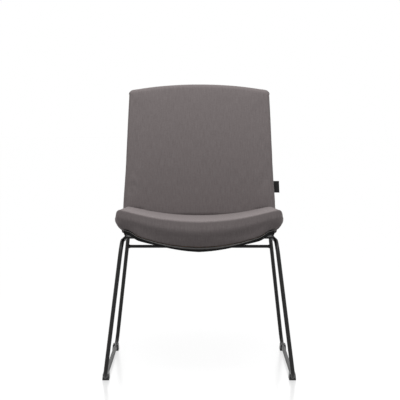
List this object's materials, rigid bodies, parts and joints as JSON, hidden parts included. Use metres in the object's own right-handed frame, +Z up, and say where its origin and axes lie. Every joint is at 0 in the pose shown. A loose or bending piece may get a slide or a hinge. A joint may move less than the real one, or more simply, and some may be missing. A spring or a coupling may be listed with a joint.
{
  "type": "sled-base chair",
  "caption": "Sled-base visitor chair: upholstered seat and back on a moulded plywood shell, carried by bent steel rod loops with clip-on floor glides.",
  "frame": {"origin": "on the floor, under the centre of the chair's bounding box", "axes": "+Z up, -Y the way a sitter faces, +X to the sitter's left"},
  "size_m": [0.5636, 0.5746, 0.863],
  "materials": {
    "shell_plywood": "raw beech plywood",
    "foam": "open-cell foam",
    "wadding": "fibre wadding",
    "upholstery_fabric": "warm grey woven wool",
    "cover_plastic": "black satin moulding",
    "tab_webbing": "black woven tape",
    "frame_steel": "black powder coat",
    "glide_plastic": "black nylon",
    "fastener_steel": "zinc plated"
  },
  "bodies": {
    "root": {"plywood_shell": "shell_plywood", "seat_foam": "foam", "back_foam": "foam", "back_wadding": "wadding", "seat_cover": "upholstery_fabric", "back_front_cover": "upholstery_fabric", "back_rear_cover": "upholstery_fabric", "under_seat_cover": "cover_plastic", "label_tab": "tab_webbing", "left_side_rod": "frame_steel", "right_side_rod": "frame_steel", "rear_cross_bar": "frame_steel", "front_seat_strap": "frame_steel", "rear_left_tab": "frame_steel", "rear_right_tab": "frame_steel", "front_left_glide": "glide_plastic", "front_right_glide": "glide_plastic", "rear_left_glide": "glide_plastic", "rear_right_glide": "glide_plastic", "shell_screws": "fastener_steel", "shell_washers": "fastener_steel", "shell_tee_nuts": "fastener_steel", "cover_screws": "fastener_steel"}
  },
  "joints": []
}
